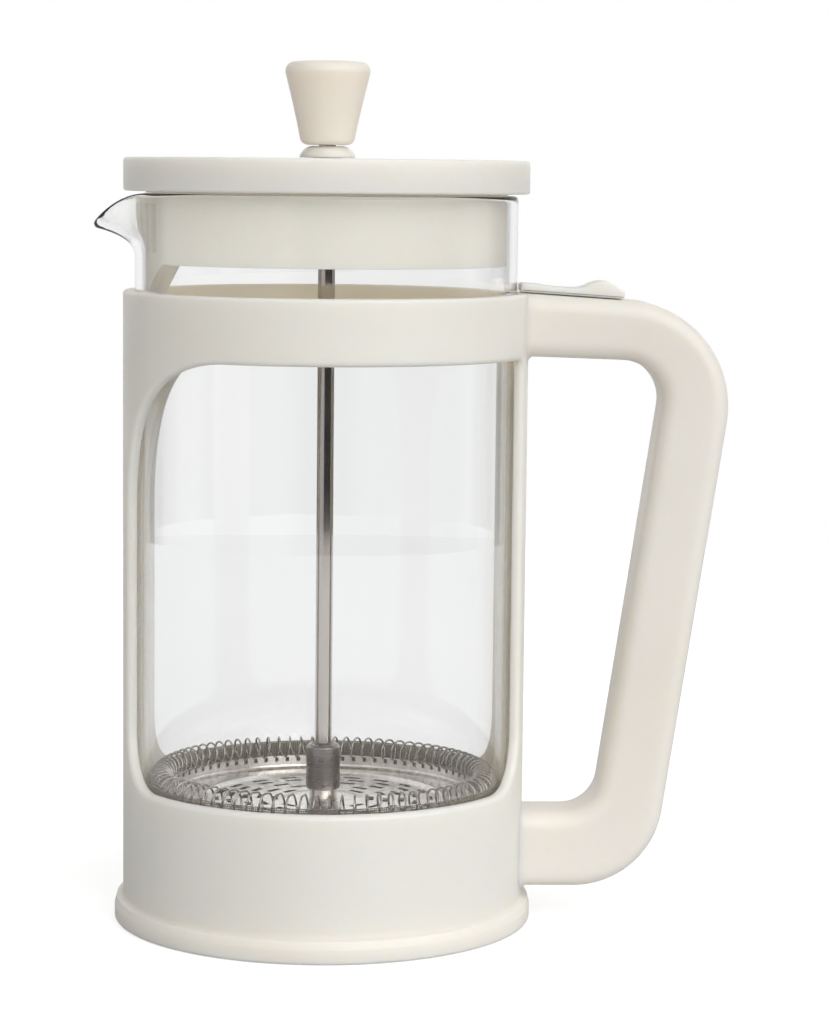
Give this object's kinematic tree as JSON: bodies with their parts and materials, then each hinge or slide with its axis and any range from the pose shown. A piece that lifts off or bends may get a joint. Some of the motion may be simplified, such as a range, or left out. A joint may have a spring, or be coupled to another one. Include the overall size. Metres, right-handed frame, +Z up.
{
  "type": "french press",
  "caption": "Glass beaker with a spout in a moulded holder with windows and a loop handle, a lid with a strainer skirt, and a plunger with a sprung mesh filter.",
  "frame": {"origin": "centre of the holder's flat underside, on the surface that the press stands on", "axes": "+Z up along the beaker axis, +X towards the handle, -X towards the spout"},
  "size_m": [0.1629, 0.1084, 0.2214],
  "materials": {
    "cream_plastic": "satin moulded, cream",
    "lid_plastic": "satin moulded, cream",
    "gloss_cream": "smooth moulded, cream",
    "knob_plastic": "satin moulded, warm cream",
    "clear_glass": "clear, fire polished",
    "polished_steel": "polished stainless",
    "brushed_steel": "turned stainless",
    "spring_steel": "drawn stainless wire",
    "woven_steel": "woven stainless wire",
    "brass_insert": "turned brass"
  },
  "bodies": {
    "holder": {"holder_frame": "cream_plastic", "handle": "cream_plastic"},
    "latch": {"beaker_latch": "cream_plastic"},
    "beaker": {"glass_beaker": "clear_glass"},
    "lid_guide": {"lid_bush": "gloss_cream", "lid_nut": "gloss_cream"},
    "lid": {"lid_cap": "lid_plastic", "lid_strainer": "lid_plastic"},
    "plunger": {"knob": "knob_plastic", "knob_insert": "brass_insert", "plunger_rod": "polished_steel", "hub_sleeve": "brushed_steel", "spiral_plate": "polished_steel", "rim_spring": "spring_steel", "filter_mesh": "woven_steel", "cross_plate": "polished_steel", "cross_boss": "brushed_steel"}
  },
  "joints": [
    {"name": "latch_slide", "type": "slide", "parent": "holder", "child": "latch", "axis": [0.998, 0, -0.0624], "range_m": [0, 0.008]},
    {"name": "beaker_lift", "type": "slide", "parent": "holder", "child": "beaker", "axis": [0, 0, 1], "range_m": [0, 0.17]},
    {"name": "lid_lift", "type": "slide", "parent": "beaker", "child": "lid_guide", "axis": [0, 0, 1], "range_m": [0, 0.17]},
    {"name": "lid_turn", "type": "hinge", "parent": "lid_guide", "child": "lid", "pos_m": [0, 0, 0.19], "axis": [0, 0, 1], "continuous": true},
    {"name": "plunger_slide", "type": "slide", "parent": "lid_guide", "child": "plunger", "axis": [0, 0, 1], "range_m": [0, 0.112]}
  ]
}
